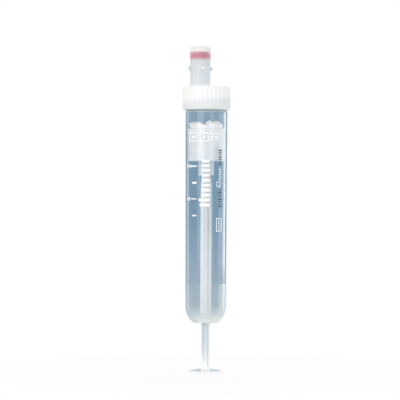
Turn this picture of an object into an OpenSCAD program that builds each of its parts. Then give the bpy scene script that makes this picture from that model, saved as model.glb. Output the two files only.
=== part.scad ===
// Blood collection tube of the syringe kind: a clear tube with a screw cap, a rubber membrane in the
// cap's nozzle, a piston on a snap-off plunger rod, and clot granules over the piston.
// Millimetres. It stands on its thumb disc: z is the tube's axis, with 0 at the disc's outer face, and the
// scale on the tube faces -y.

/* [Tube] */
// Bore diameter
bore_d = 14.2; // [11.8:0.1:17.1]
// Wall just under the cap
wall_t = 1; // [0.8:0.05:1.3]
// Wall at the low end, thinner by the mould's draft
wall_low_t = 0.75; // [0.6:0.05:1.2]
// Length from the flat low end to the rim
tube_len = 90.45; // [75:0.05:120]
// Diameter of the flat on the low end
flat_d = 9.5; // [8:0.1:10.4]
// Thickness of the floor at the low end
floor_t = 1; // [0.6:0.1:2]
// Length of the matt zone at the low end
matt_len = 14.9; // [8:0.1:30]
// How far the matt zone stands proud
matt_step = 0.05; // [0.02:0.01:0.1]
// Wall of the neck at the root of its thread
neck_wall = 0.65; // [0.5:0.05:0.8]
// Length of the neck
neck_len = 8.35; // [6.5:0.05:10]
// Height of the shoulder under the neck
shoulder_h = 0.5; // [0.2:0.1:1.5]

/* [Cap] */
// How far the skirt stops short of the shoulder
cap_gap = 0.3; // [0.1:0.05:1.2]
// Thickness of the top
cap_top_t = 1.1; // [0.8:0.1:2.5]
// Wall of the skirt between its ribs
skirt_wall = 0.675; // [0.6:0.005:2]
// Radius of the rounded top edge
cap_round = 0.8; // [0.3:0.1:1.5]
// Number of ribs
rib_count = 36; // [24:2:48]
// Height of a rib
rib_h = 0.25; // [0.1:0.01:0.4]
// Width of a rib's crest
rib_w = 0.45; // [0.2:0.05:0.6]
// Width of a rib's foot
rib_foot_w = 0.95; // [0.7:0.05:1.05]
// Room between neck and skirt, in which both threads lie
thread_room = 0.6; // [0.4:0.05:0.8]
// Length of the plug that seals in the bore
plug_len = 6.75; // [6:0.05:9.8]
// Wall of the plug
plug_wall = 1.2; // [0.8:0.1:1.6]
// Gap around the plug
plug_gap = 0.03; // [0.01:0.01:0.1]

/* [Nozzle] */
// Outer diameter
nozzle_d = 8; // [6.6:0.1:9.6]
// Wall around the needle's passage
nozzle_wall = 1.1; // [0.8:0.1:1.6]
// Height over the cap's top
nozzle_len = 15.55; // [12:0.05:20]
// How far the passage stays inside the plug's wall, which sets the nozzle off the tube's axis
nozzle_inset = 0.47; // [0.1:0.01:1]
// Radius of the rounded tip
tip_round = 1.7; // [0.5:0.1:1.8]
// Thickness of the lip that holds the membrane in
lip_t = 2.4; // [1:0.1:2.5]
// Diameter of the opening in the lip
lip_hole_d = 4.3; // [2:0.1:4.6]
// Diameter of the four lugs
lug_d = 1.6; // [1:0.1:2]
// How far a lug stands out
lug_h = 0.75; // [0.4:0.05:1.5]
// Height of the lugs over the cap's top
lug_up = 6.85; // [3:0.05:8]
// Turn of the first lug from the front
lug_turn = 14.5; // [0:0.5:90]

/* [Membrane] */
// Wall of the nozzle around the membrane's flange
seat_wall = 0.3; // [0.3:0.05:0.9]
// Thickness of the flange
membrane_t = 2.6; // [1.5:0.1:4]
// How far the button stays under the nozzle's tip
membrane_sink = 0.5; // [0.1:0.1:1]

/* [Piston] */
// Gap between the parked piston's crown and the cap's plug
chamber_len = 8.7; // [4.2:0.1:20]
// Length without the hub
piston_len = 12.4; // [8:0.1:16]
// Gap around the sealing lips
piston_gap = 0.03; // [0.01:0.01:0.1]
// How far the waist stays inside the lips
waist_in = 0.1; // [0.1:0.05:0.6]
// Length of one sealing lip
seal_len = 1.1; // [0.6:0.1:2]
// Wall of the skirt
piston_wall = 1.1; // [0.8:0.1:1.5]
// Thickness of the crown
crown_t = 1.5; // [1:0.1:3]
// Diameter of the hub
hub_d = 6; // [5:0.05:7.2]
// Gap around the hub in the tube's floor, where the drawn piston parks
hub_gap = 0.1; // [0.05:0.05:0.3]
// How far the hub stands out of the skirt
hub_len = 5.5; // [3:0.1:8]

/* [Plunger rod] */
// Width over the blades inside the tube
rod_w = 4.2; // [3.5:0.1:5.2]
// Thickness of the blades
blade_t = 1.2; // [0.8:0.1:1.6]
// Width over the blades outside the tube
stem_w = 3.1; // [2.3:0.1:3.4]
// Length of rod between the thumb disc and the tube
stem_len = 18.7; // [10:0.05:30]
// Length of the taper under the break neck
taper_len = 4.4; // [2:0.1:8]
// Diameter of the break neck
break_d = 2.6; // [1.6:0.1:3]
// Length of the break neck
break_len = 0.6; // [0.3:0.1:1]
// Diameter of the pin in the piston's hub
pin_d = 3.4; // [2:0.1:4.1]
// Length of the pin
pin_len = 9; // [5:0.1:11]
// Gap around the pin
pin_gap = 0.03; // [0.01:0.01:0.1]
// Diameter of the thumb disc
disc_d = 13.6; // [11:0.05:16.2]
// Thickness of the thumb disc at its rim
disc_t = 0.6; // [0.5:0.05:2]
// How far the disc's inner face rises towards the stem
disc_rise = 0.95; // [0.2:0.05:1.5]
// Reach of the small webs on the disc
web_out = 1.1; // [0.5:0.1:2]
// Height of the small webs on the disc
web_h = 2.5; // [1:0.1:4]

/* [Granules] */
// Diameter of a granule
granule_d = 2.2; // [1.6:0.1:2.6]
// Height of a granule
granule_h = 1.45; // [1:0.05:1.75]
// Gap between granules, and under the lowest ones
granule_gap = 0.06; // [0.03:0.01:0.2]

/* [Hidden] */
$fn = 96;
eps = 0.01;

bore_r = bore_d / 2;
top_r = bore_r + wall_t;
low_r = bore_r + wall_low_t;
neck_r = bore_r + neck_wall;
hole_r = hub_d / 2 + hub_gap;
base_z = disc_t + stem_len;
low_z = base_z + sqrt(low_r * low_r - flat_d * flat_d / 4);
// The round end runs this far up inside the straight wall, so that the two are one piece
end_lap = 1;
rim_z = base_z + tube_len;
neck_z = rim_z - neck_len;
shoulder_z = neck_z - shoulder_h;
matt_z = base_z + matt_len;
matt_r = low_r + (top_r - low_r) * (matt_z - low_z) / (shoulder_z - low_z);

cap_low_z = neck_z + cap_gap;
cap_top_z = rim_z + cap_top_t;
skirt_bore_r = neck_r + thread_room;
skirt_r = skirt_bore_r + skirt_wall;
rib_r = skirt_r + rib_h;
rib_low_z = cap_low_z + 0.35;
rib_top_z = cap_top_z - cap_round - 0.15;
rib_root = 0.15;
rib_root_w = rib_foot_w + (rib_foot_w - rib_w) * rib_root / rib_h;
plug_r = bore_r - plug_gap;
plug_in_r = plug_r - plug_wall;
plug_low_z = rim_z - plug_len;
plug_tip = 1.6;

nozzle_r = nozzle_d / 2;
passage_r = nozzle_r - nozzle_wall;
nozzle_off = plug_in_r - nozzle_inset - passage_r;
collar_out = 0.6;
tip_z = cap_top_z + nozzle_len;
lip_z = tip_z - lip_t;
membrane_r = nozzle_r - seat_wall;
seat_z = lip_z - membrane_t;
lug_z = cap_top_z + lug_up;
lug_root = 0.5;
button_round = 0.4;
dimple_h = 0.8;

crown_z = plug_low_z - chamber_len;
piston_z = crown_z - piston_len;
hub_z = piston_z - hub_len;
hub_r = hub_d / 2;
seal_r = bore_r - piston_gap;
waist_r = seal_r - waist_in;
skirt_in_r = waist_r - piston_wall;

// The blades' outer corners, with a little room
blade_clear_r = norm([rod_w, blade_t]) / 2 + 0.05;
step_z = base_z + floor_t;
break_z = hub_z - break_len;

// Half section of a round bar whose top edge is rounded
module rounded_half(r, z0, z1, edge) {
    translate([0, z0]) square([r, z1 - z0 - edge]);
    translate([0, z0]) square([r - edge, z1 - z0]);
    translate([r - edge, z1 - edge]) circle(edge);
}

module tube_outline() {
    intersection() {
        translate([0, low_z]) circle(low_r);
        translate([0, base_z]) square([low_r, low_z - base_z + end_lap]);
    }
    polygon([
        [0, low_z], [low_r, low_z],
        [matt_r + matt_step, matt_z], [matt_r, matt_z],
        [top_r, shoulder_z], [neck_r, neck_z],
        [neck_r, rim_z], [0, rim_z]
    ]);
}

module tube_hollow() {
    intersection() {
        translate([0, low_z]) circle(bore_r);
        translate([0, step_z]) square([bore_r, low_z - step_z + end_lap]);
    }
    translate([0, low_z]) square([bore_r, rim_z - low_z + 1]);
    translate([0, base_z - 1]) square([hole_r, low_z - base_z + 1]);
}

module tube() {
    color([0.62, 0.74, 0.84, 0.45])
        rotate_extrude()
            difference() {
                tube_outline();
                tube_hollow();
            }
}

// Each rib is a ridge with a narrow crest and a wide foot, sunk a little into the skirt
module ribs()
    for (i = [0 : rib_count - 1])
        rotate([0, 0, i * 360 / rib_count - 90])
            translate([0, 0, rib_low_z])
                linear_extrude(rib_top_z - rib_low_z)
                    polygon([
                        [skirt_r - rib_root, -rib_root_w / 2], [rib_r, -rib_w / 2],
                        [rib_r, rib_w / 2], [skirt_r - rib_root, rib_root_w / 2]
                    ]);

module cap_shell() {
    rotate_extrude()
        difference() {
            rounded_half(skirt_r, cap_low_z, cap_top_z, cap_round);
            translate([0, cap_low_z - 1]) square([skirt_bore_r, rim_z - cap_low_z + 1]);
        }
    rotate_extrude()
        polygon([
            [plug_in_r, rim_z + eps], [plug_in_r, plug_low_z], [plug_r - plug_wall / 2, plug_low_z],
            [plug_r, plug_low_z + plug_tip], [plug_r, rim_z + eps]
        ]);
}

module nozzle() {
    rotate_extrude() {
        rounded_half(nozzle_r, cap_top_z - cap_top_t / 2, tip_z, tip_round);
        polygon([
            [0, cap_top_z - eps], [nozzle_r + collar_out, cap_top_z - eps],
            [nozzle_r, cap_top_z + collar_out], [0, cap_top_z + collar_out]
        ]);
    }
    for (i = [0 : 3])
        rotate([0, 0, lug_turn - 90 + 90 * i])
            translate([nozzle_r - lug_root, 0, lug_z])
                rotate([0, 90, 0])
                    cylinder(d = lug_d, h = lug_h + lug_root);
}

module nozzle_hollow() {
    translate([0, 0, rim_z - 1]) cylinder(r = passage_r, h = seat_z - rim_z + 1 + eps);
    translate([0, 0, seat_z]) cylinder(r = membrane_r, h = membrane_t);
    translate([0, 0, lip_z - eps]) cylinder(d = lip_hole_d, h = lip_t + 1);
}

module screw_cap() {
    color("white")
        difference() {
            union() {
                cap_shell();
                ribs();
                translate([-nozzle_off, 0, 0]) nozzle();
            }
            translate([-nozzle_off, 0, 0]) nozzle_hollow();
        }
}

module membrane() {
    color([0.82, 0.56, 0.62])
        translate([-nozzle_off, 0, 0])
            rotate_extrude()
                difference() {
                    union() {
                        translate([0, seat_z]) square([membrane_r, membrane_t]);
                        rounded_half(lip_hole_d / 2, seat_z, tip_z - membrane_sink, button_round);
                    }
                    // The thin spot that a needle goes through
                    translate([0, seat_z - 1]) square([passage_r / 2, dimple_h + 1]);
                }
}

module piston() {
    color([0.9, 0.93, 0.94])
        rotate_extrude()
            difference() {
                union() {
                    polygon([
                        [0, piston_z], [seal_r, piston_z], [seal_r, piston_z + seal_len],
                        [waist_r, piston_z + seal_len + waist_in],
                        [waist_r, crown_z - seal_len - waist_in],
                        [seal_r, crown_z - seal_len], [seal_r, crown_z], [0, crown_z]
                    ]);
                    translate([0, hub_z]) square([hub_r, hub_len + eps]);
                }
                // Skirt hollow around the hub, and the hub's own bore
                translate([hub_r, piston_z - 1])
                    square([skirt_in_r - hub_r, piston_len - crown_t + 1]);
                translate([0, hub_z - 1]) square([pin_d / 2 + pin_gap, pin_len + 1]);
            }
}

module cross_bar(w, z0, z1)
    translate([0, 0, z0])
        for (a = [0, 90])
            rotate([0, 0, a])
                translate([-w / 2, -blade_t / 2, 0])
                    cube([w, blade_t, z1 - z0]);

module plunger_rod() {
    color([0.9, 0.92, 0.93]) {
        rotate_extrude() {
            square([disc_d / 2 - disc_t / 2, disc_t]);
            translate([disc_d / 2 - disc_t / 2, disc_t / 2]) circle(disc_t / 2);
            polygon([
                [0, disc_t - eps], [disc_d / 2 - disc_t / 2, disc_t - eps], [disc_d / 2 - disc_t / 2, disc_t],
                [stem_w / 2, disc_t + disc_rise], [0, disc_t + disc_rise]
            ]);
        }
        cross_bar(stem_w, disc_t - eps, step_z + eps);
        // One small web in front of the stem and one behind it
        for (a = [90, 270])
            rotate([0, 0, a])
                rotate([90, 0, 0])
                    translate([0, 0, -blade_t / 2])
                        linear_extrude(blade_t)
                            polygon([
                                [0, disc_t - eps], [stem_w / 2 + web_out, disc_t - eps],
                                [stem_w / 2, disc_t + web_h], [0, disc_t + web_h]
                            ]);
        intersection() {
            cross_bar(rod_w, step_z, break_z);
            rotate_extrude()
                polygon([
                    [0, step_z], [stem_w / 2, step_z], [blade_clear_r, step_z + blade_clear_r - stem_w / 2],
                    [blade_clear_r, break_z - taper_len], [pin_d / 2, break_z], [0, break_z]
                ]);
        }
        translate([0, 0, break_z - eps]) cylinder(d = break_d, h = break_len + 2 * eps);
        translate([0, 0, hub_z]) cylinder(d = pin_d, h = pin_len);
    }
}

// One layer of granules on a triangular grid inside the bore, with a dip left free across its middle
module granule_layer(z, turn, dip_left, dip_right) {
    pitch = granule_d + granule_gap;
    row_step = pitch * sqrt(3) / 2;
    reach = bore_r - granule_d / 2 - granule_gap;
    n = ceil(bore_r / row_step);
    for (j = [-n : n], i = [-n : n]) {
        x = (i + (abs(j) % 2) / 2) * pitch;
        y = j * row_step;
        seen_x = x * cos(turn) - y * sin(turn);
        if (norm([x, y]) <= reach && (seen_x <= dip_left || seen_x >= dip_right))
            rotate([0, 0, turn])
                translate([x, y, z])
                    cylinder(d = granule_d, h = granule_h, $fn = 24);
    }
}

module clot_granules() {
    color("ivory") {
        granule_layer(crown_z + granule_gap, 0, 0, 0);
        granule_layer(crown_z + 2 * granule_gap + granule_h, 20, -1.6, 0.6);
    }
}

tube();
screw_cap();
membrane();
piston();
plunger_rod();
clot_granules();
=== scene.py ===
import math
import random

import bpy
from mathutils import Euler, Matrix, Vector


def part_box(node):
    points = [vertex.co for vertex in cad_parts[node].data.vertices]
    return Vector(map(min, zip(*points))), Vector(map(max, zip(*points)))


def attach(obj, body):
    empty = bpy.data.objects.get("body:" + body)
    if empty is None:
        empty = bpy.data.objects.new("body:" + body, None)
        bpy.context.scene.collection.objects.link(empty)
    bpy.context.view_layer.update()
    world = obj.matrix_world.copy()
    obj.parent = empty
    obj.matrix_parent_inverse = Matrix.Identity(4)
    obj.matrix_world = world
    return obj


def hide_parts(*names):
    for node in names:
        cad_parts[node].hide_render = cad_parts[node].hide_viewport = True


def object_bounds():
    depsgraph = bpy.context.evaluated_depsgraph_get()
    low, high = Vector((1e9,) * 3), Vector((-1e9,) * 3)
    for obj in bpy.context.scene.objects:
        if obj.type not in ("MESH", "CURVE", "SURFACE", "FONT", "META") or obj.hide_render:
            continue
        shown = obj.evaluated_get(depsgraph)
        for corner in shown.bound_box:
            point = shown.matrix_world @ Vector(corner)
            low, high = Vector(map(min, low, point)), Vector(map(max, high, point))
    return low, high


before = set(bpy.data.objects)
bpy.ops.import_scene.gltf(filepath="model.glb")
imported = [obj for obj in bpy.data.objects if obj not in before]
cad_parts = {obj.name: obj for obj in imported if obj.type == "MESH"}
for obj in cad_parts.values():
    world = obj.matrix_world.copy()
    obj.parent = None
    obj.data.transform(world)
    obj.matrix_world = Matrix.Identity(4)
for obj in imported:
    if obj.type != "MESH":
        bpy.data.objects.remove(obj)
cad_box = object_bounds()

# The tube: a clear polypropylene barrel, moulded in one piece. Its round end has a hole in the
# floor for the rod, its wall widens a little towards the shoulder, and the neck carries the cap's
# thread. The low end is matt and a little milky, as it leaves the mould.
mm = 0.001
tube_low, tube_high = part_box("tube")
base_z = tube_low.z
rim_z = tube_high.z
top_r = tube_high.x
bore_r = top_r - 1.0 * mm
low_r = bore_r + 0.75 * mm
flat_r = 4.75 * mm
round_z = base_z + math.sqrt(low_r ** 2 - flat_r ** 2)
floor_z = base_z + 1.0 * mm
hole_r = 3.1 * mm
matt_z = base_z + 14.9 * mm
matt_step = 0.05 * mm
neck_r = bore_r + 0.65 * mm
neck_z = rim_z - 8.35 * mm
shoulder_z = neck_z - 0.5 * mm
thread_pitch = 3.0 * mm
thread_h = 0.27 * mm
thread_end = 0.8 * mm
neck_thread_low = neck_z + 1.2 * mm
neck_thread_high = rim_z - 0.8 * mm
wall_turns = 160
tiny = 0.001 * mm
sharp_angle = math.radians(38)


def wall_r(z):
    """Outer radius of the tube's straight wall at a height."""
    return low_r + (top_r - low_r) * (z - round_z) / (shoulder_z - round_z)


def arc(middle_z, radius, start, end, steps):
    """Corners (r, z, 0) on an arc about a point of the axis. Angle 0 points straight outwards."""
    turns = [start + (end - start) * k / steps for k in range(steps + 1)]
    return [(radius * math.cos(a), middle_z + radius * math.sin(a), 0) for a in turns]


def rounded(corners, steps=5):
    """An outline from corners (r, z, reach). Each is cut back by its reach and rounded."""
    points = []
    for i, (r, z, reach) in enumerate(corners):
        corner = Vector((r, z))
        before = Vector(corners[i - 1][:2]) - corner
        after = Vector(corners[(i + 1) % len(corners)][:2]) - corner
        if reach == 0:
            points.append(corner)
            continue
        reach = min(reach, 0.49 * before.length, 0.49 * after.length)
        start = corner + reach * before.normalized()
        end = corner + reach * after.normalized()
        for k in range(steps + 1):
            t = k / steps
            points.append((1 - t) ** 2 * start + 2 * t * (1 - t) * corner + t ** 2 * end)
    return points


def braced(points, brace=0.25 * mm):
    """The outline with a point near each end of its long stretches, so that they shade flat."""
    result = []
    for i, point in enumerate(points):
        result.append(point)
        along = points[(i + 1) % len(points)] - point
        if along.length > 4 * brace and max(point.x, (point + along).x) > 0:
            result.append(point + brace * along.normalized())
            result.append(point + along - brace * along.normalized())
    return result


def turned(outline, turns, relief=None):
    """Vertices and faces of a closed outline of (r, z) points, turned about z. relief(r, z, turn)
    adds to the radius. A point on the axis becomes a pole."""
    verts = []
    rings = []
    for r, z in outline:
        if r < tiny:
            rings.append([len(verts)])
            verts.append(Vector((0, 0, z)))
            continue
        rings.append(list(range(len(verts), len(verts) + turns)))
        for k in range(turns):
            turn = 2 * math.pi * k / turns
            out = r + (relief(r, z, turn) if relief else 0)
            verts.append(Vector((out * math.cos(turn), out * math.sin(turn), z)))
    faces = []
    for low, high in zip(rings, rings[1:] + rings[:1]):
        if len(low) == 1 and len(high) == 1:
            continue
        for k in range(turns):
            after = (k + 1) % turns
            if len(low) == 1:
                faces.append((low[0], high[after], high[k]))
            elif len(high) == 1:
                faces.append((low[k], low[after], high[0]))
            else:
                faces.append((low[k], low[after], high[after], high[k]))
    return verts, faces


def smoothed(mesh):
    """Shades a mesh smooth but for its sharp edges."""
    mesh.shade_smooth()
    mesh.set_sharp_from_angle(angle=sharp_angle)


def make(name, *shells):
    """One object from closed shells of vertices and faces."""
    verts = []
    faces = []
    for shell_verts, shell_faces in shells:
        start = len(verts)
        verts += shell_verts
        faces += [tuple(start + i for i in face) for face in shell_faces]
    mesh = bpy.data.meshes.new(name)
    mesh.from_pydata(verts, [], faces)
    mesh.validate()
    smoothed(mesh)
    piece = bpy.data.objects.new(name, mesh)
    bpy.context.scene.collection.objects.link(piece)
    return piece


def thread_rise(z, turn, low, high):
    """How far a right-hand, round-topped thread stands out, from 0 to 1. Its two ends run out."""
    if z <= low or z >= high:
        return 0
    phase = (z - low) / thread_pitch - turn / (2 * math.pi)
    crest = (0.5 + 0.5 * math.cos(2 * math.pi * phase)) ** 2
    run_out = min(1, (z - low) / thread_end, (high - z) / thread_end)
    return crest * run_out


def neck_relief(r, z, turn):
    """The thread on the neck."""
    if abs(r - neck_r) > tiny:
        return 0
    return thread_h * thread_rise(z, turn, neck_thread_low, neck_thread_high)


def rows(r, start, end, count):
    """Corners (r, z, 0) evenly up or down an upright wall."""
    return [(r, start + (end - start) * k / count, 0) for k in range(count + 1)]


flat_turn = -math.acos(flat_r / low_r)
flat_ease = 0.16
floor_turn = -math.asin((round_z - floor_z) / bore_r)
floor_ease = 0.1
neck_rows = 48
neck_row_low = neck_z + 0.5 * mm
neck_row_high = rim_z - 0.5 * mm
tube_outline = rounded([
    (hole_r, base_z, 0.2 * mm),
    (flat_r, base_z, 0.9 * mm),
    *arc(round_z, low_r, flat_turn + flat_ease, 0, 24),
    (wall_r(matt_z) + matt_step, matt_z, 0.04 * mm),
    (wall_r(matt_z), matt_z + 0.08 * mm, 0.04 * mm),
    (top_r, shoulder_z, 0.3 * mm),
    (neck_r, neck_z, 0.25 * mm),
    *rows(neck_r, neck_row_low, neck_row_high, neck_rows),
    (neck_r, rim_z, 0.25 * mm),
    (bore_r, rim_z, 0.25 * mm),
    *arc(round_z, bore_r, 0, floor_turn + floor_ease, 20),
    (bore_r * math.cos(floor_turn), floor_z, 0.5 * mm),
    (hole_r, floor_z, 0.2 * mm),
])
tube = make("tube_barrel", turned(braced(tube_outline), wall_turns, neck_relief))


class Value:
    """A number that changes over a surface. Arithmetic on it adds Math nodes."""

    def __init__(self, finish, socket):
        self.finish = finish
        self.socket = socket

    def maths(self, operation, *numbers):
        """A Math node's result for numbers or values."""
        numbers = dict(enumerate(numbers))
        return self.finish.node("ShaderNodeMath", {"operation": operation}, numbers)

    def most(self, other):
        """The larger of the two."""
        return self.maths("MAXIMUM", self, other)

    def __add__(self, other):
        return self.maths("ADD", self, other)

    def __radd__(self, other):
        return self.maths("ADD", other, self)

    def __sub__(self, other):
        return self.maths("SUBTRACT", self, other)

    def __rsub__(self, other):
        return self.maths("SUBTRACT", other, self)

    def __mul__(self, other):
        return self.maths("MULTIPLY", self, other)

    def __rmul__(self, other):
        return self.maths("MULTIPLY", other, self)

    def __truediv__(self, other):
        return self.maths("DIVIDE", self, other)

    def __pow__(self, other):
        return self.maths("POWER", self, other)


class Finish:
    """A node tree of a material or of the world, built node by node."""

    def __init__(self, owner):
        owner.use_nodes = True
        self.owner = owner
        self.tree = owner.node_tree
        self.tree.nodes.clear()

    def node(self, kind, settings=None, inputs=None, output=0):
        """A new node's output, after its settings are set and its inputs are set or linked."""
        new = self.tree.nodes.new(kind)
        for key, value in (settings or {}).items():
            setattr(new, key, value)
        for key, value in (inputs or {}).items():
            if isinstance(value, Value):
                self.tree.links.new(value.socket, new.inputs[key])
            else:
                new.inputs[key].default_value = value
        return Value(self, new.outputs[output] if len(new.outputs) else None)

    def step(self, value, low, high):
        """0 below low and 1 above high, with a soft change between them."""
        ends = {"Value": value, "From Min": low, "From Max": high}
        return self.node("ShaderNodeMapRange", {"interpolation_type": "SMOOTHSTEP"}, ends)

    def noise(self, place, scale, detail=2.0):
        """Soft noise from 0 to 1, with about scale lumps to the metre."""
        lumps = {"Vector": place, "Scale": scale, "Detail": detail}
        return self.node("ShaderNodeTexNoise", {}, lumps)

    def blend(self, share, first, second):
        """A colour between two colours."""
        colours = {0: share, 6: first, 7: second}
        return self.node("ShaderNodeMix", {"data_type": "RGBA"}, colours, 2)

    def mix(self, share, first, second):
        """A shader between two shaders."""
        return self.node("ShaderNodeMixShader", {}, {0: share, 1: first, 2: second})

    def bump(self, height, distance, strength=1.0):
        """A bumpy normal from a height from 0 to 1."""
        heights = {"Height": height, "Distance": distance, "Strength": strength}
        return self.node("ShaderNodeBump", {}, heights)

    def place(self):
        """Where a point of the piece lies, in metres."""
        return self.node("ShaderNodeTexCoord", {}, {}, "Object")

    def along(self, place, axis):
        """One of a place's coordinates, in millimetres."""
        return self.node("ShaderNodeSeparateXYZ", {}, {"Vector": place}, axis) / mm

    def over(self, place, level):
        """A place's height over a level, in millimetres."""
        return self.along(place, "Z") - level / mm

    def out(self, place, middle=0.0):
        """A place's distance from the upright line at X = middle, in millimetres."""
        across = self.along(place, "X") - middle / mm
        deep = self.along(place, "Y")
        return (across * across + deep * deep) ** 0.5

    def facing(self):
        """0 where the surface faces the eye and 1 where it turns edge on."""
        return self.node("ShaderNodeLayerWeight", {}, {"Blend": 0.5}, "Facing")

    def shown(self, shader):
        """The material or world, with this shader as its surface."""
        output = "World" if isinstance(self.owner, bpy.types.World) else "Material"
        self.node("ShaderNodeOutput" + output, {}, {"Surface": shader})
        return self.owner


def ring(finish, place, level, half):
    """1 in a thin ring round the tube at a level, fading out to half a width on both sides."""
    off = finish.over(place, level)
    return 1 - finish.step(off.maths("ABSOLUTE", off), 0.3 * half, half)


def milkiness_and_painted_light(finish, place, facing, outside, matt):
    """How milky the plastic is, from 0 to 1, with painted light laid into it. The matt skin and the
    floor are milky, and it grows towards the low end. Painted reflections: a line where the wall
    turns edge on and a line round the inside of the round end. Painted light: more on the right
    side, a white ring round the floor's hole, thin lines at the neck's steps, and a little high up."""
    up = finish.over(place, base_z)
    over_round = finish.over(place, round_z)
    # Painted light: wherever this mask is used, the right side is made milkier so that it shows
    # lighter
    right = finish.step(finish.along(place, "X"), -6.0, 6.0)
    # Painted reflection: a milky line where the wall turns edge on
    edge_painted_reflection = finish.step(facing, 0.42, 0.52) * (1 - finish.step(facing, 0.60, 0.68))
    edge_painted_reflection = outside * edge_painted_reflection * finish.step(over_round, -3.0, 1.0)
    # Painted light: more milk on the right where the wall slants away
    right_painted_light = outside * right * finish.step(facing, 0.1, 0.35)
    thick_floor = (1 - finish.step(up, -0.8, 7.7)) * (1 - 0.35 * finish.step(facing, 0.2, 0.5))
    # A little more milk high up the tube: painted light
    rising = 0.11 * (1 - finish.step(up, -5.3, 46.7)) + 0.03 * finish.step(up, 64.7, 79.7)
    rising = rising + thick_floor * (0.34 + 0.08 * right)
    cloud = 0.85 + 0.3 * finish.noise(place, 260.0)
    # Painted light: thin bright lines round the neck's and shoulder's steps
    neck_painted_light = outside * ring(finish, place, neck_z + 0.1 * mm, 0.3)
    shoulder_painted_light = outside * ring(finish, place, shoulder_z, 0.3)
    matt_skin = 0.01 + 0.05 * right + (0.07 + 0.14 * right) * finish.step(facing, 0.12, 0.42)
    # Painted highlight: a white ring round the floor's hole
    hole_painted_highlight = 1 - finish.step(finish.out(place) - hole_r / mm, 0.15, 0.6)
    # Painted reflection: a line round the inside of the round end
    round_end_painted_reflection = (1 - outside) * finish.step(facing, 0.7, 0.85)
    round_end_painted_reflection = round_end_painted_reflection * (1 - finish.step(over_round, -0.5, 3.0))
    wall = 0.01 + edge_painted_reflection * (0.23 + 0.08 * right) + 0.065 * right_painted_light + rising * cloud
    details = 0.5 * neck_painted_light + 0.15 * shoulder_painted_light + 0.4 * hole_painted_highlight + 0.3 * round_end_painted_reflection
    return wall + matt * matt_skin + details


def clear_plastic():
    """Clear, faintly blue plastic: a mirror-like skin, a dark line where the wall turns edge on, a
    painted reflection, and a milkiness that grows towards the low end, with painted light and
    reflections in it. The milk is warmer and whiter at the floor, a painted highlight."""
    finish = Finish(bpy.data.materials.new("clear_plastic"))
    place = finish.place()
    facing = finish.facing()
    # Distance from the axis, or in the round end from that end's centre
    out = finish.out(place)
    below = finish.over(place, round_z)
    below = below.maths("MINIMUM", below, 0.0)
    radius = (out * out + below * below) ** 0.5
    outside = finish.step(radius - bore_r / mm, 0.2, 0.3)
    matt = outside * (1 - finish.step(finish.over(place, matt_z), -0.05, 0.05))
    haze_and_painted_light = milkiness_and_painted_light(finish, place, facing, outside, matt)
    inner_side = finish.node("ShaderNodeNewGeometry", {}, {}, "Backfacing")
    mirror = outside * (1 - inner_side) * (0.055 + 0.28 * facing ** 3)
    ripple = finish.bump(finish.noise(place, 120.0, 1.0), 0.0006 * mm)
    grain = finish.noise(place, 5200.0, 1.0) * matt
    skin = finish.node("ShaderNodeBump", {}, {
        "Height": grain, "Distance": 0.008 * mm, "Normal": ripple,
    })
    roughness = 0.09 + 0.28 * matt
    clear = finish.node("ShaderNodeBsdfTransparent", {}, {"Color": (0.96, 0.966, 0.97, 1)})
    # Painted reflection: a darker blue seen through the wall where it turns edge on
    painted_dark_edge = finish.node("ShaderNodeBsdfTransparent", {}, {"Color": (0.76, 0.84, 0.90, 1)})
    # Painted highlight: the milk is warmer and whiter at the floor
    floor_highlight_fade = finish.step(finish.over(place, base_z), 0.2, 3.6)
    milk = finish.blend(floor_highlight_fade, (0.94, 0.935, 0.905, 1), (0.79, 0.85, 0.865, 1))
    milky = finish.node("ShaderNodeBsdfPrincipled", {}, {
        "Base Color": milk, "Roughness": roughness, "Normal": skin,
    })
    gloss = finish.node("ShaderNodeBsdfGlossy", {}, {
        "Color": (1, 1, 1, 1), "Roughness": roughness, "Normal": skin,
    })
    turned_away = finish.step(facing, 0.62, 0.72) * outside * (1 - matt)
    through = finish.mix(turned_away, clear, painted_dark_edge)
    return finish.shown(finish.mix(mirror, finish.mix(haze_and_painted_light, through, milky), gloss))


tube.data.materials.append(clear_plastic())
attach(tube, "barrel")
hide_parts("tube")

# The plunger rod: white polyethylene, moulded in one piece with its thumb disc. Inside the tube it
# is a cross of four blades, outside a slimmer cross. Above the thin neck where it snaps off, a
# round pin sits in the piston's hub.
rod_low, rod_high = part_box("plunger_rod")
disc_z = rod_low.z
disc_r = rod_high.x
disc_t = 0.6 * mm
stem_arm = 1.55 * mm
blade_arm = 2.1 * mm
blade_half = 0.6 * mm
web_out = 1.1 * mm
foot_z = disc_z + disc_t + 0.95 * mm
web_z = disc_z + disc_t + 2.5 * mm
hub_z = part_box("piston")[0].z
break_z = hub_z - 0.6 * mm
break_r = 1.3 * mm
taper_z = break_z - 4.4 * mm
pin_r = 1.7 * mm
pin_top_z = rod_high.z


def cross_section(arm, half, edge=0.18 * mm):
    """A cross of four arms with rounded edges and small fillets between them."""
    corners = []
    for quarter in range(4):
        c = math.cos(quarter * math.pi / 2)
        s = math.sin(quarter * math.pi / 2)
        for x, y, reach in ((arm, -half, edge), (arm, half, edge), (half, half, 1.2 * edge)):
            corners.append((x * c - y * s, x * s + y * c, reach))
    return rounded(corners, 4)


def round_section(radius):
    """A circle with as many points as the cross, each in the same direction from the axis."""
    return [radius * point.normalized() for point in cross_section(stem_arm, blade_half)]


def lofted(levels):
    """Vertices and faces of a closed shell through sections at rising heights."""
    verts = []
    faces = []
    count = len(levels[0][1])
    for z, section in levels:
        verts += [Vector((point.x, point.y, z)) for point in section]
    for level in range(len(levels) - 1):
        for k in range(count):
            a = level * count + k
            b = level * count + (k + 1) % count
            faces.append((a, b, b + count, a + count))
    faces.append(tuple(reversed(range(count))))
    faces.append(tuple(range(len(verts) - count, len(verts))))
    return verts, faces


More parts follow.
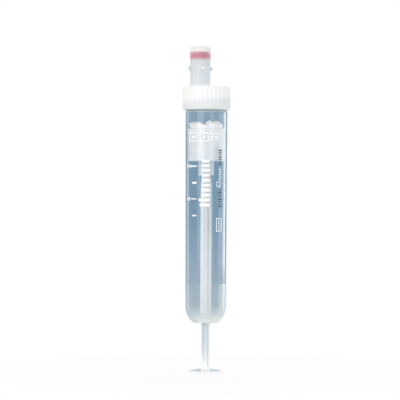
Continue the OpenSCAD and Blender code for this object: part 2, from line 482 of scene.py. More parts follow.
disc = turned(braced(rounded([
    (0, disc_z, 0), (disc_r, disc_z, disc_t / 2), (disc_r, disc_z + disc_t, disc_t / 2),
    (stem_arm, foot_z, 0.3 * mm), (0, foot_z, 0),
], 8)), 128)
rod_levels = [
    (foot_z - 0.2 * mm, cross_section(stem_arm + 0.2 * mm, blade_half + 0.2 * mm)),
    (foot_z, cross_section(stem_arm + 0.15 * mm, blade_half + 0.15 * mm)),
    (foot_z + 0.2 * mm, cross_section(stem_arm, blade_half)),
    (web_z + 0.3 * mm, cross_section(stem_arm, blade_half)),
    (floor_z - 0.2 * mm, cross_section(stem_arm, blade_half)),
    (floor_z, cross_section(stem_arm + 0.05 * mm, blade_half)),
    (floor_z + 0.7 * mm, cross_section(blade_arm - 0.05 * mm, blade_half)),
    (floor_z + 0.9 * mm, cross_section(blade_arm, blade_half)),
    (taper_z - 0.3 * mm, cross_section(blade_arm, blade_half)),
    (taper_z + 0.3 * mm, cross_section(blade_arm - 0.04 * mm, blade_half)),
    (break_z - 0.15 * mm, cross_section(pin_r + 0.05 * mm, blade_half)),
    (break_z, cross_section(pin_r - 0.1 * mm, blade_half - 0.05 * mm)),
    (break_z + 0.03 * mm, round_section(break_r + 0.05 * mm)),
    (break_z + 0.15 * mm, round_section(break_r)),
    (hub_z - 0.15 * mm, round_section(break_r)),
    (hub_z - 0.02 * mm, round_section(break_r + 0.1 * mm)),
    (hub_z, round_section(pin_r - 0.1 * mm)),
    (hub_z + 0.1 * mm, round_section(pin_r)),
    (pin_top_z - 0.3 * mm, round_section(pin_r)),
    (pin_top_z, round_section(pin_r - 0.3 * mm)),
]


def web(side):
    """A small three-cornered web between the disc and the stem, in front of it or behind it."""
    levels = []
    web_low_z = disc_z + disc_t
    for z, reach in ((web_low_z - 0.2 * mm, web_out), (web_low_z, web_out), (web_z, -0.05 * mm)):
        half = blade_half * side
        far = (stem_arm + reach) * side
        levels.append((z, rounded([
            (half, -far, 0.15 * mm), (half, 0, 0), (-half, 0, 0), (-half, -far, 0.15 * mm),
        ])))
    return lofted(levels)


def combined(piece, other, operation):
    """The piece with another shape joined to it or cut out of it."""
    change = piece.modifiers.new(operation.lower(), "BOOLEAN")
    change.operation = operation
    change.solver = "MANIFOLD"
    change.object = other
    bpy.context.view_layer.update()
    changed = piece.evaluated_get(bpy.context.evaluated_depsgraph_get())
    result = bpy.data.meshes.new_from_object(changed)
    result.materials.clear()
    smoothed(result)
    piece.modifiers.remove(change)
    piece.data = result
    bpy.data.objects.remove(other)


rod = make("plunger_rod_and_disc", lofted(rod_levels))
combined(rod, make("thumb_disc", disc), "UNION")
combined(rod, make("disc_webs", web(1), web(-1)), "UNION")


def moulded_white(name, colour, shade, roughness, lump, painted_light_and_shade=None, share=0.25):
    """Moulded white plastic: two close tones in soft patches, a satin skin and a fine orange peel.
    A share of the light goes into it."""
    finish = Finish(bpy.data.materials.new(name))
    place = finish.place()
    patches = finish.step(finish.noise(place, 0.35 / lump), 0.35, 0.65)
    tone = finish.blend(patches, colour, shade)
    if painted_light_and_shade:
        tone = painted_light_and_shade(finish, place, tone)
    peel = finish.bump(finish.noise(place, 1 / lump, 3.0), 0.02 * mm, 0.6)
    skin = roughness + 0.12 * finish.noise(place, 0.8 / lump)
    return finish.shown(finish.node("ShaderNodeBsdfPrincipled", {}, {
        "Base Color": tone, "Roughness": skin, "Normal": peel,
        "Subsurface Weight": share, "Subsurface Radius": (1.0, 1.0, 1.0),
        "Subsurface Scale": 0.6 * mm,
    }))


def stem_painted_light_and_shade(finish, place, tone):
    """The rod's tone, with painted light and shade: whiter at the foot, painted light from the
    floor;
    darker and cooler up the bare stem towards the tube, more on its left, painted shade; blue on
    the disc's sloping face beside the webs, a painted reflection; a little darker high up in the
    tube."""
    up = finish.over(place, disc_z)
    across = finish.along(place, "X")
    deep = finish.along(place, "Y")
    # Painted shade: darker and cooler up the bare stem towards the tube, more on the left
    stem_shade = finish.step(up, 1.0, 14.0) * (1 - finish.step(finish.over(place, floor_z), 0.0, 0.6))
    stem_shade = stem_shade * (1 - 0.7 * finish.step(across, -0.4, 1.4))
    slope = finish.step(finish.over(place, disc_z + disc_t), 0.03, 0.28)
    slope = slope * (1 - finish.step(finish.over(place, foot_z), 0.0, 0.1))
    slope = slope * finish.step(finish.out(place) - stem_arm / mm, 0.25, 0.75)
    beside = finish.step(across * across, 1.5, 4.5).most(finish.step(deep, 0.0, 1.0))
    tone = finish.blend(finish.step(up, 34.0, 60.0), tone, (0.735, 0.765, 0.775, 1))
    tone = finish.blend(stem_shade, tone, (0.57, 0.645, 0.69, 1))
    # Painted light from the floor: whiter at the foot
    tone = finish.blend(1 - finish.step(up, 1.6, 6.0), tone, (0.95, 0.955, 0.96, 1))
    # Painted reflection: blue on the disc's sloping face beside the webs
    return finish.blend(slope * beside, tone, (0.54, 0.65, 0.73, 1))


rod.data.materials.append(moulded_white(
    "rod_plastic", (0.86, 0.88, 0.88, 1), (0.83, 0.86, 0.865, 1), roughness=0.3, lump=1.2 * mm,
    painted_light_and_shade=stem_painted_light_and_shade, share=0.1,
))
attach(rod, "plunger")
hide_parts("plunger_rod")

# The piston: natural polyethylene, moulded in one piece. A sealing lip at each end wipes the bore,
# the waist between them stays clear of it, and inside the open skirt a hub takes the rod's pin.
piston_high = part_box("piston")[1]
crown_z = piston_high.z
seal_r = piston_high.x
waist_r = seal_r - 0.1 * mm
seal_len = 1.1 * mm
piston_z = crown_z - 12.4 * mm
skirt_in_r = waist_r - 1.1 * mm
crown_in_z = crown_z - 1.5 * mm
hub_r = 3.0 * mm
hub_bore_r = pin_r + 0.03 * mm
hub_top_z = hub_z + 9.0 * mm
piston_outline = rounded([
    (0, hub_top_z, 0), (hub_bore_r, hub_top_z, 0.2 * mm),
    (hub_bore_r, hub_z, 0.15 * mm), (hub_r, hub_z, 0.25 * mm),
    (hub_r, crown_in_z, 0.4 * mm), (skirt_in_r, crown_in_z, 0.4 * mm),
    (skirt_in_r, piston_z, 0.15 * mm), (seal_r, piston_z, 0.2 * mm),
    (seal_r, piston_z + seal_len, 0.05 * mm),
    (waist_r, piston_z + seal_len + 0.1 * mm, 0.1 * mm),
    (waist_r, crown_z - seal_len - 0.1 * mm, 0.1 * mm),
    (seal_r, crown_z - seal_len, 0.05 * mm),
    (seal_r, crown_z, 0.2 * mm), (0, crown_z, 0),
])
piston = make("piston_with_lips", turned(braced(piston_outline), wall_turns))


def piston_light_and_shade(finish, place, tone):
    """The piston's tone: darker and cooler on the hub below the skirt, painted shade, and whiter
    towards the crown, painted light.
    """
    over_skirt = finish.over(place, piston_z)
    hub_shade = 1 - finish.step(over_skirt, -0.1, 0.1)
    # Painted light: whiter towards the crown
    solid = finish.step(over_skirt, 3.0, 11.4)
    tone = finish.blend(solid, tone, (0.91, 0.915, 0.91, 1))
    # Painted shade: darker and cooler on the hub below the skirt
    return finish.blend(hub_shade, tone, (0.62, 0.69, 0.73, 1))


piston.data.materials.append(moulded_white(
    "piston_plastic", (0.80, 0.83, 0.84, 1), (0.77, 0.805, 0.82, 1), roughness=0.42,
    lump=2.5 * mm, painted_light_and_shade=piston_light_and_shade,
))
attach(piston, "plunger")
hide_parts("piston")

# The clot granules: a loose heap of small white pellets on the piston's crown, which make the
# blood clot when it reaches them. A white bed just under their tops fills the gaps between them,
# so that the gaps show no shade: painted light. Some pellets are dimpled, some bent, and no two
# lie alike.
granule_r = 1.3 * mm
granule_reach = bore_r - granule_r + 0.05 * mm
granule_apart = 1.8 * granule_r
granule_drops = 110
tries_each = 60
crown_gap = 0.03 * mm
chance = random.Random(375)


def heap_top(x, y):
    """Height of the heap's outline: a low hump at the left, two higher ones at the right, and a
    slope down to the back."""
    humps = ((-4.2, 2.2, 0.6), (2.0, 1.0, 1.0), (4.6, 1.5, 1.3))
    rise = sum(h * math.exp(-((x / mm - at) / wide) ** 2) for at, wide, h in humps)
    return crown_z + (2.3 + rise) * mm - 0.12 * max(0, y)


def resting_z(x, y, lying):
    """Height at which a granule dropped at a place comes to rest on those that lie there."""
    z = crown_z + granule_r
    for other in lying:
        apart = math.hypot(x - other.x, y - other.y)
        if apart < granule_apart:
            z = max(z, other.z + math.sqrt(granule_apart ** 2 - apart ** 2))
    return z


def dropped_granules():
    """Centres of granules, each dropped at the lowest of many places, up to the heap's outline."""
    lying = []
    for _ in range(granule_drops):
        tries = []
        for _ in range(tries_each):
            turn = chance.uniform(0, 2 * math.pi)
            out = granule_reach * math.sqrt(chance.random())
            x = out * math.cos(turn)
            y = out * math.sin(turn)
            z = resting_z(x, y, lying)
            if z + 0.85 * granule_r < heap_top(x, y):
                tries.append(Vector((x, y, z)))
        if tries:
            lying.append(min(tries, key=lambda place: place.z))
    return lying


def granule(place):
    """One pellet of a chance shape and lie."""
    radius = granule_r * chance.uniform(0.95, 1.1)
    half = radius * chance.uniform(0.7, 0.9)
    dimple = half * chance.choice((0.05, 0.15, 0.3))
    bend = chance.choice((0, 0, 0.15)) / radius
    edge = 0.9 * half
    pellet = rounded([
        (0, -half + dimple, 0), (0.35 * radius, -half + 0.6 * dimple, 0.2 * radius),
        (0.62 * radius, -half, 0.15 * radius), (radius, -half, edge), (radius, half, edge),
        (0.62 * radius, half, 0.15 * radius), (0.35 * radius, half - 0.6 * dimple, 0.2 * radius),
        (0, half - dimple, 0),
    ], 3)
    verts, faces = turned(pellet, 18)
    lie = Euler([chance.uniform(0, 2 * math.pi) for _ in range(3)]).to_matrix()
    stretch = chance.uniform(0.8, 1.0)
    shaped = []
    for v in verts:
        bent = Vector((v.x * stretch, v.y, v.z + bend * v.x ** 2 - 0.3 * bend * radius ** 2))
        shaped.append(place + lie @ bent)
    lowest = min(v.z for v in shaped)
    lift = max(0, crown_z + crown_gap - lowest)
    return [v + Vector((0, 0, lift)) for v in shaped], faces


def kept_inside(shell):
    """The granule with any point that would reach into the tube's wall drawn back to it."""
    most = bore_r - 0.08 * mm
    verts = []
    for v in shell[0]:
        out = math.hypot(v.x, v.y)
        share = min(1, most / max(out, most / 2))
        verts.append(Vector((v.x * share, v.y * share, v.z)))
    return verts, shell[1]


def gap_filling_bed():
    """A white bed between the granules, whose top lies just under theirs. It fills their gaps so
    that
    the gaps show no shade: painted light.
    """
    bed_r = bore_r - 0.7 * mm
    thick = 2.0 * mm
    low = crown_z + crown_gap
    bed_rings = 8
    top = [(bed_r * k / bed_rings, thick, 0) for k in reversed(range(bed_rings))]
    bed = [(0, 0, 0), (bed_r, 0, 0.2 * mm), (bed_r, thick, 0.5 * mm), *top]
    verts, faces = turned(rounded(bed), 72)
    lifted = []
    for v in verts:
        rise = heap_top(v.x, v.y) - 0.7 * granule_r - low
        lifted.append(Vector((v.x, v.y, low + rise * v.z / thick)))
    return lifted, faces


lying_granules = [kept_inside(granule(place)) for place in dropped_granules()]
granules = make("clot_granule_heap", gap_filling_bed(), *lying_granules)
granules.data.materials.append(moulded_white(
    "granule_plastic", (0.97, 0.965, 0.95, 1), (0.94, 0.945, 0.94, 1), roughness=0.5,
    lump=0.5 * mm, share=0.0,
))
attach(granules, "plunger")
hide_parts("clot_granules")

# The membrane: a pink rubber plug in the top of the cap's nozzle. Its flange is held in a groove
# under the nozzle's lip, its button fills the lip's opening, and a needle goes through the thin
# spot below.
membrane_low, membrane_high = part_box("membrane")
seat_z = membrane_low.z
membrane_r = (membrane_high.x - membrane_low.x) / 2
nozzle_x = (membrane_high.x + membrane_low.x) / 2
lip_z = seat_z + 2.6 * mm
button_z = membrane_high.z
lip_hole_r = 2.15 * mm
nozzle_r = 4.0 * mm
passage_r = 2.9 * mm
flange_gap = 0.02 * mm


def moved(shell, x):
    """A shell moved sideways."""
    return [v + Vector((x, 0, 0)) for v in shell[0]], shell[1]


flange_r = membrane_r - flange_gap
button_r = lip_hole_r - flange_gap
membrane_outline = rounded([
    (0, seat_z + 0.8 * mm, 0), (passage_r / 2, seat_z + 0.8 * mm, 0.25 * mm),
    (passage_r / 2, seat_z, 0.2 * mm), (flange_r, seat_z + flange_gap, 0.2 * mm),
    (flange_r, lip_z - flange_gap, 0.2 * mm), (button_r, lip_z - flange_gap, 0),
    (button_r, button_z, 0.45 * mm), (0.9 * mm, button_z, 0.25 * mm), (0, button_z - 0.25 * mm, 0),
])
membrane = make("rubber_membrane", moved(turned(braced(membrane_outline), 96), nozzle_x))


def pink_rubber():
    """Soft pink rubber with a dull skin and a faint bloom."""
    finish = Finish(bpy.data.materials.new("pink_rubber"))
    place = finish.place()
    bloom = finish.noise(place, 900.0, 3.0)
    return finish.shown(finish.node("ShaderNodeBsdfPrincipled", {}, {
        "Base Color": finish.blend(bloom, (0.66, 0.20, 0.28, 1), (0.72, 0.26, 0.34, 1)),
        "Roughness": 0.45 + 0.2 * bloom,
        "Normal": finish.bump(finish.noise(place, 4000.0), 0.01 * mm),
    }))


membrane.data.materials.append(pink_rubber())
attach(membrane, "cap")
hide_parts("membrane")

# The screw cap: white polyethylene, moulded in one piece with the nozzle that takes the needle. Its
# skirt has fine grip ribs outside and the thread inside, a plug under its top seals the bore, and
# four small lugs round the nozzle hold the needle's collar.
cap_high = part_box("screw_cap")[1]
cap_low_z = neck_z + 0.3 * mm
cap_top_z = rim_z + 1.1 * mm
cap_flat_r = 5.5 * mm
tip_z = cap_high.z
rib_h = 0.25 * mm
rib_count = 36
rib_points = 14
skirt_r = cap_high.y - rib_h
skirt_bore_r = neck_r + 0.6 * mm
plug_r = bore_r - 0.03 * mm
plug_in_r = plug_r - 1.2 * mm
plug_z = rim_z - 6.75 * mm
plug_bevel = 0.6 * mm
plug_bevel_z = plug_z + 1.6 * mm
rib_low_z = cap_low_z + 0.35 * mm
rib_top_z = cap_top_z - 0.95 * mm
skirt_thread_low = cap_low_z + 0.9 * mm
skirt_thread_high = rim_z - 0.7 * mm


def skirt_relief(r, z, turn):
    """Grip ribs outside the skirt and the thread inside it."""
    if abs(r - skirt_bore_r) < tiny:
        return -thread_h * thread_rise(z, turn + math.pi, skirt_thread_low, skirt_thread_high)
    if r < skirt_r - tiny:
        return 0
    wave = 0.5 + 0.85 * math.cos(rib_count * (turn + math.pi / 2))
    crest = max(0, min(1, wave))
    crest = crest * crest * (3 - 2 * crest)
    run_out = max(0, min(1, (z - rib_low_z) / (0.3 * mm), (rib_top_z - z) / (0.4 * mm)))
    return 0.8 * rib_h * crest * run_out


thread_rows = 42
cap_outline = rounded([
    (0, rim_z, 0), (plug_in_r, rim_z, 0.4 * mm), (plug_in_r, plug_z, 0.2 * mm),
    (plug_r - plug_bevel, plug_z, 0.2 * mm), (plug_r, plug_bevel_z, 0.4 * mm),
    (plug_r, rim_z, 0.1 * mm), (skirt_bore_r, rim_z, 0.2 * mm),
    *rows(skirt_bore_r, skirt_thread_high, skirt_thread_low, thread_rows),
    (skirt_bore_r, cap_low_z, 0.15 * mm), (skirt_r, cap_low_z, 0.15 * mm),
    *rows(skirt_r, rib_low_z, rib_low_z + 0.4 * mm, 4),
    *rows(skirt_r, rib_top_z - 0.5 * mm, rib_top_z, 5),
    (skirt_r, cap_top_z - 0.3 * mm, 0.8 * mm), (cap_flat_r, cap_top_z, 1.5 * mm),
    (0, cap_top_z, 0),
], 8)
cap = make("cap_moulding", turned(braced(cap_outline), rib_count * rib_points, skirt_relief))

collar = 0.6 * mm
tip_flat_r = 2.55 * mm
lip_chamfer = 0.35 * mm
nozzle_outline = rounded([
    (0, cap_top_z - 0.5 * mm, 0), (nozzle_r + collar, cap_top_z - 0.5 * mm, 0.05 * mm),
    (nozzle_r + collar, cap_top_z + 0.08 * mm, 0.08 * mm), (nozzle_r, cap_top_z + collar, 0.5 * mm),
    (nozzle_r, tip_z - 0.5 * mm, 1.3 * mm), (tip_flat_r, tip_z, 0.5 * mm), (0, tip_z, 0),
], 8)
nozzle = make("nozzle_outside", moved(turned(braced(nozzle_outline), 96), nozzle_x))
passage_outline = rounded([
    (0, rim_z - 1.0 * mm, 0), (passage_r, rim_z - 1.0 * mm, 0), (passage_r, seat_z, 0.1 * mm),
    (membrane_r, seat_z, 0.15 * mm), (membrane_r, lip_z, 0.15 * mm), (lip_hole_r, lip_z, 0.1 * mm),
    (lip_hole_r, tip_z - 0.2 * mm, 0.2 * mm), (lip_hole_r + lip_chamfer, tip_z + 0.15 * mm, 0),
    (lip_hole_r + lip_chamfer, tip_z + 1.0 * mm, 0), (0, tip_z + 1.0 * mm, 0),
])
passage = make("nozzle_inside", moved(turned(passage_outline, 96), nozzle_x))

lug_r = 0.8 * mm
lug_h = 0.75 * mm
lug_z = cap_top_z + 6.85 * mm
lug_turn = math.radians(14.5 - 90)
lug_outline = rounded([
    (0, nozzle_r - 0.5 * mm, 0), (lug_r, nozzle_r - 0.5 * mm, 0),
    (lug_r, nozzle_r + lug_h, 0.3 * mm), (0, nozzle_r + lug_h, 0),
])
lug_verts, lug_faces = turned(lug_outline, 32)


def lug(turn):
    """A small round lug that stands out of the nozzle's wall."""
    outward = Vector((math.cos(turn), math.sin(turn), 0))
    sideways = Vector((-math.sin(turn), math.cos(turn), 0))
    middle = Vector((nozzle_x, 0, lug_z))
    verts = [middle + v.x * sideways + Vector((0, 0, v.y)) + v.z * outward for v in lug_verts]
    return verts, lug_faces


lugs = make("nozzle_lugs", *[lug(lug_turn + math.pi / 2 * k) for k in range(4)])
combined(cap, nozzle, "UNION")
combined(cap, lugs, "UNION")
combined(cap, passage, "DIFFERENCE")


def cap_plastic():
    """White polyethylene: solid and warm white at the cap's top, and milky in the nozzle, most of
    all
    where its wall is thin. Painted shade: the skirt is darker and cooler below the slanting line
    where the thread begins, standing in for the neck inside. Painted light: the nozzle's wall is
    pink round
    the membrane's flange and faintly pink on the lip, the rubber glowing through. Painted
    highlight:
    the front and back lugs are more solid."""
    finish = Finish(bpy.data.materials.new("cap_plastic"))
    place = finish.place()
    over_top = finish.over(place, cap_top_z)
    over_seat = finish.over(place, seat_z)
    over_lip = finish.over(place, lip_z)
    across = finish.along(place, "X")
    deep = finish.along(place, "Y")
    turn = across.maths("ARCTAN2", across, -1.0 * deep)
    thread_line = 3.8 + 0.64 * turn
    # Painted shade: the skirt is darker and cooler below this slanting line
    above_skirt_shade = finish.step(finish.over(place, cap_low_z) - thread_line, -1.3, 1.3)
    patches = finish.noise(place, 500.0)
    out = finish.out(place, nozzle_x)
    nozzle_wall = finish.step(over_top, 0.3, 1.2)
    inside = finish.step(finish.over(place, rim_z), 0.0, 0.2)
    inside = inside * (1 - finish.step(out - passage_r / mm, 0.1, 0.2))
    seat = finish.step(over_seat, 0.1, 0.6) * (1 - finish.step(over_lip, -0.3, 0.1))
    lip = finish.step(over_lip, -0.3, 0.4)
    # Painted highlight: the front and back lugs are made more solid, so that they show white
    lug_highlight = finish.step(out - nozzle_r / mm, 0.05, 0.15) * finish.step(deep * deep, 10.0, 12.0)
    low = 1 - finish.step(over_top, 0.0, 6.0)
    solid = 0.42 - 0.26 * seat + 0.42 * lip + 0.2 * low + 0.3 * lug_highlight
    thick = solid + (1 - solid) * finish.facing() ** 1.8
    # Painted light: the pink of the rubber glows in the nozzle's wall round the membrane's flange
    painted_rubber_glow = finish.step(over_seat, -0.9, 0.6) * (1 - finish.step(over_lip, -1.2, 0.5))
    colour = finish.blend(above_skirt_shade, (0.735, 0.755, 0.765, 1), (0.875, 0.872, 0.852, 1))
    colour = finish.blend(nozzle_wall, colour, (0.89, 0.925, 0.94, 1))
    # Painted light: the lip is faintly pink from the rubber inside it
    colour = finish.blend(lip, colour, (0.90, 0.865, 0.865, 1))
    colour = finish.blend(painted_rubber_glow * nozzle_wall, colour, (0.80, 0.46, 0.53, 1))
    opaque = 1 - nozzle_wall.most(inside) * (1 - thick)
    peel = finish.bump(finish.noise(place, 1500.0, 3.0), 0.004 * mm, 0.6)
    return finish.shown(finish.node("ShaderNodeBsdfPrincipled", {}, {
        "Base Color": colour, "Roughness": 0.26 + 0.1 * patches, "Normal": peel, "Alpha": opaque,
    }))


cap.data.materials.append(cap_plastic())
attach(cap, "cap")
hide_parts("screw_cap")

# The print: a thin film of white and black ink on the tube's front, screened on after moulding. It
# holds a short scale with two numbers and plain bars, frames and dashes.
ink_t = 0.025 * mm
ink_lift = 0.004 * mm


def band(path, width, closed=False, across=6, round_end=0.0):
    """Vertices and faces of a thin closed band of ink along a path of (u, z) points on the unrolled
    wall. round_end is the radius of the corners at its two ends."""
    count = len(path)
    lengths = [0.0]
    for a, b in zip(path, path[1:]):
        lengths.append(lengths[-1] + (b - a).length)
    verts = []
    for i, point in enumerate(path):
        before = path[i - 1] if i or closed else path[0]
        after = path[(i + 1) % count] if i + 1 < count or closed else path[-1]
        tangent = (after - before).normalized()
        normal = Vector((-tangent.y, tangent.x))
        end_gap = min(lengths[i], lengths[-1] - lengths[i])
        inset = 0.0
        if round_end > 0 and end_gap < round_end:
            inset = round_end - math.sqrt(round_end ** 2 - (round_end - end_gap) ** 2)
        half = width / 2 - inset
        places = [point + normal * half * (2 * k / across - 1) for k in range(across + 1)]
        for lift, row in ((ink_lift + ink_t, places), (ink_lift, places[::-1])):
            for place in row:
                radius = wall_r(place.y) + lift
                turn = place.x / wall_r(place.y)
                verts.append(Vector((radius * math.sin(turn), -radius * math.cos(turn), place.y)))
    around = 2 * (across + 1)
    faces = []
    for i in range(count if closed else count - 1):
        a = i * around
        b = (i + 1) % count * around
        for k in range(around):
            after = (k + 1) % around
            faces.append((a + k, b + k, b + after, a + after))
    if not closed:
        for start, flip in ((0, -1), ((count - 1) * around, 1)):
            last = start + around - 1
            for k in range(across):
                face = (start + k, last - k, last - 1 - k, start + k + 1)
                faces.append(face[::flip])
    return verts, faces


def line(a, b, step=0.25 * mm):
    """Points from a to b, both in millimetres, close enough to follow the wall."""
    a = Vector(a) * mm
    b = Vector(b) * mm
    count = max(2, math.ceil((b - a).length / step))
    return [a.lerp(b, k / count) for k in range(count + 1)]


def block(u, z, wide, high, corner):
    """A filled block with rounded corners, its middle at u and z. Sizes are in millimetres."""
    steps = 6
    radius = corner * mm
    rounds = [radius * (1 - math.cos(math.pi / 2 * k / steps)) for k in range(steps + 1)]
    ends = [high / 2 * mm - drop for drop in rounds]
    heights = [-h for h in ends] + ends[::-1]
    path = [Vector((u * mm, z * mm + h)) for h in heights]
    return band(path, wide * mm, across=max(6, math.ceil(wide * 3)), round_end=radius)


def frame_line(u, z, wide, high, corner, stroke):
    """A plain frame with rounded corners, its middle at u and z. Sizes are in millimetres."""
    path = []
    for k in range(4):
        side_u = u + (1, -1, -1, 1)[k] * (wide / 2 - corner)
        side_z = z + (1, 1, -1, -1)[k] * (high / 2 - corner)
        for step in range(5):
            turn = math.pi / 2 * (k + step / 4)
            round_out = corner * math.cos(turn)
            round_up = corner * math.sin(turn)
            path.append(Vector((side_u + round_out, side_z + round_up)) * mm)
    dense = []
    for a, b in zip(path, path[1:] + path[:1]):
        count = max(1, math.ceil((b - a).length / (0.3 * mm)))
        dense += [a.lerp(b, k / count) for k in range(count)]
    return band(dense, stroke * mm, closed=True, across=2)


def stroke_path(u, z, points, size, bold):
    """A thin stroke through points given on a small upright grid, turned to read up the tube."""
    places = [(u - up * size, z + right * size) for right, up in points]
    path = []
    for a, b in zip(places, places[1:]):
        part = line(a, b, 0.15 * mm)
        path += part[1:] if path else part
    return band(path, bold * mm, across=2)


def two(u, z, size, bold):
    """The figure 2."""
    turns = [0.2 + k * (math.pi + 0.5) / 9 for k in range(10)]
    bow = [(0.5 - 0.5 * math.cos(a), 1.15 + 0.5 * math.sin(a)) for a in turns]
    return [stroke_path(u, z, bow + [(0.0, 0.0), (1.0, 0.0)], size, bold)]


def four(u, z, size, bold):
    """The figure 4."""
    return [
        stroke_path(u, z, [(0.75, 1.65), (0.0, 0.5), (1.05, 0.5)], size, bold),
        stroke_path(u, z, [(0.75, 0.95), (0.75, 0.0)], size, bold),
    ]


white_shells = []
# The scale's lines, from top to bottom, and its two numbers
scale_right = -3.85
for mark_z, mark_long, mark_bold in (
    (86.0, 1.8, 0.3), (79.8, 2.9, 0.55), (73.4, 2.05, 0.75), (67.2, 2.9, 0.4), (60.8, 2.05, 0.5),
):
    mark_u = scale_right - mark_long / 2
    white_shells.append(block(mark_u, mark_z, mark_long, mark_bold, 0.05))
number_u = -7.0
number_size = 1.25
number_bold = 0.42
white_shells += two(number_u, 79.2, number_size, number_bold)
white_shells += four(number_u, 66.6, number_size, number_bold)
# A bold column of plain bars beside the scale
bar_right = 1.3
for bar_z, bar_wide, bar_high in (
    (64.9, 3.9, 1.1), (66.8, 4.3, 1.1), (68.7, 3.1, 1.1), (70.6, 3.1, 1.1), (72.5, 3.1, 0.9),
    (74.4, 3.1, 1.1), (76.3, 3.1, 1.1), (78.2, 3.1, 1.1), (80.0, 3.1, 1.1), (81.7, 3.1, 1.1),
):
    white_shells.append(block(bar_right - bar_wide / 2, bar_z, bar_wide, bar_high, 0.25))
# A row of small plain frames and dashes over the bars
row_z = 91.0
dash_rise = 1.25
white_shells.append(frame_line(-5.6, row_z, 3.7, 3.2, 0.2, 0.42))
white_shells.append(block(-5.5, row_z, 1.7, 1.1, 0.1))
white_shells.append(frame_line(-0.85, row_z, 3.1, 3.1, 0.2, 0.5))
white_shells.append(block(-0.85, row_z, 1.2, 1.2, 0.15))
for dash_z in (row_z + dash_rise, row_z, row_z - dash_rise):
    for dash_u in (2.1, 3.85):
        white_shells.append(block(dash_u, dash_z, 1.3, 0.6, 0.1))
# Small dashes and two frames in the column at the right
column_u = 5.6
box_u = 5.35
dash_gap = 0.95
white_shells.append(frame_line(column_u - 0.6, 72.9, 1.5, 1.9, 0.15, 0.25))
for step in range(5):
    dash_u = column_u + 0.3 * (step % 2)
    white_shells.append(block(dash_u, 74.8 + dash_gap * step, 1.1, 0.35, 0.1))
white_shells.append(frame_line(box_u, 57.3, 2.5, 4.8, 0.15, 0.3))
for step in range(4):
    white_shells.append(block(box_u, 55.9 + dash_gap * step, 1.0, 0.35, 0.1))
# Two rows of short black dashes in the same column
black_shells = []
black_gap = 0.88
for low_mark, count in ((64.4, 8), (80.6, 7)):
    for step in range(count):
        mark_wide = (1.6, 0.9, 1.3)[step % 3]
        mark_z = low_mark + black_gap * step
        black_shells.append(block(column_u + 0.2, mark_z, mark_wide, 0.45, 0.08))
white_print = make("white_ink", *white_shells)
black_print = make("black_ink", *black_shells)


def ink(name, colour, thin):
    """Screened ink that lets a little of the wall show where it lies thin."""
    finish = Finish(bpy.data.materials.new(name))
    place = finish.place()
    wear = finish.step(finish.noise(place, 1800.0, 3.0), 0.3, 0.6)
    return finish.shown(finish.node("ShaderNodeBsdfPrincipled", {}, {
        "Base Color": colour, "Roughness": 0.55 - 0.1 * wear, "Alpha": thin + (1 - thin) * wear,
    }))


white_print.data.materials.append(ink("white_ink", (0.97, 0.97, 0.965, 1), 0.9))
black_print.data.materials.append(ink("black_ink", (0.04, 0.05, 0.07, 1), 0.7))
for print_piece, print_slot in ((white_print, "print_white"), (black_print, "print_black")):
    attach(print_piece, "barrel")

# The room: a pale floor and a white backdrop. Behind the clear plastic both show as a blue-grey
# card, so that its edges and its haze stand out. The floor keeps the object's shadow.
card_blue = (0.148, 0.285, 0.415, 1)
white = (1.0, 1.0, 1.0, 1)
room_level = 0.65


def behind_plastic(finish):
    """1 where a ray has passed through something clear."""
    return finish.step(finish.node("ShaderNodeLightPath", {}, {}, "Transparent Depth"), 0.4, 0.6)


def seen(finish):
    """1 for rays that look at the room, and 0 for those that only carry its light."""
    camera, mirrored, bent = [
        finish.node("ShaderNodeLightPath", {}, {}, f"Is {kind} Ray")
        for kind in ("Camera", "Glossy", "Transmission")
    ]
    return camera.most(mirrored).most(bent)


world = bpy.data.worlds.new("room")
bpy.context.scene.world = world
backdrop = Finish(world)
looked_at = seen(backdrop)
backdrop.shown(backdrop.node("ShaderNodeBackground", {}, {
    "Color": backdrop.blend(behind_plastic(backdrop) * looked_at, white, card_blue),
    "Strength": room_level + (1 - room_level) * looked_at,
}))

bpy.ops.mesh.primitive_circle_add(vertices=64, radius=3.0, fill_type="NGON")
floor = bpy.context.object
floor.name = "floor"


def pale_floor():
    """A plain pale floor. Near the object its own surface shows the shadow; further off it is
    backdrop."""
    finish = Finish(bpy.data.materials.new("pale_floor"))
    own = 0.14 * (1 - finish.step(finish.out(finish.place()), 30.0, 120.0))
    lit = finish.node("ShaderNodeBsdfDiffuse", {}, {"Color": (0.93, 0.935, 0.94, 1)})
    hidden = behind_plastic(finish)
    glow = finish.node("ShaderNodeEmission", {}, {"Color": finish.blend(hidden, white, card_blue)})
    share = seen(finish) * (1 - own * (1 - hidden))
    return finish.shown(finish.mix(share, lit, glow))


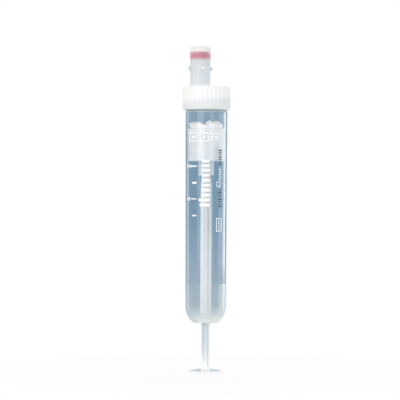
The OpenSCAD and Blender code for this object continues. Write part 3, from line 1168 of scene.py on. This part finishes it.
floor.data.materials.append(pale_floor())

# The lights: a large soft box at the front left, a small one at the front right, a row of narrow
# ones round the right side, stronger towards the back, and one overhead from behind. The camera
# looks level at the tube from the front, and leans by a quarter of a degree.
middle_z = (cad_box[0].z + cad_box[1].z) / 2


def soft_box(name, turn, rise, distance, wide, high, power):
    """An area light that faces the tube's middle. Its turn is from the front to the right and its
    rise is upwards, in degrees."""
    lamp = bpy.data.lights.new(name, "AREA")
    lamp.shape = "RECTANGLE"
    lamp.size = wide
    lamp.size_y = high
    lamp.energy = power
    box = bpy.data.objects.new(name, lamp)
    bpy.context.scene.collection.objects.link(box)
    aside = math.radians(turn)
    above = math.radians(rise)
    away = Vector((
        math.sin(aside) * math.cos(above), -math.cos(aside) * math.cos(above), math.sin(above),
    ))
    box.location = Vector((0, 0, middle_z)) + distance * away
    box.rotation_euler = away.to_track_quat("Z", "Y").to_euler()


soft_box("key_light", turn=-31, rise=8, distance=0.9, wide=0.62, high=0.8, power=4.0)
soft_box("front_light", turn=30, rise=0, distance=0.9, wide=0.4, high=0.5, power=1.15)
side_power = 0.52
side_turn = 64
side_gap = 9
for strip, share in enumerate((0.12, 0.22, 0.3, 0.26, 0.26, 0.4, 0.52, 0.58)):
    soft_box(f"side_light_{strip}", turn=side_turn + side_gap * strip, rise=0, distance=0.9,
             wide=0.14, high=0.2, power=side_power * share)
soft_box("top_light", turn=160, rise=65, distance=0.8, wide=0.6, high=0.6, power=1.6)

camera_x = -2.38 * mm
camera_away = 640 * mm
camera_z = 66.8 * mm
camera_lean = math.radians(-0.25)
camera_data = bpy.data.cameras.new("camera")
camera_data.sensor_width = 36
camera_data.lens = 148.5
camera = bpy.data.objects.new("camera", camera_data)
bpy.context.scene.collection.objects.link(camera)
camera.location = (camera_x, -camera_away, camera_z)
camera.rotation_euler = (math.pi / 2, camera_lean, 0)
bpy.context.scene.camera = camera
bpy.context.scene.view_settings.view_transform = "Standard"
bpy.context.scene.cycles.transparent_max_bounces = 24
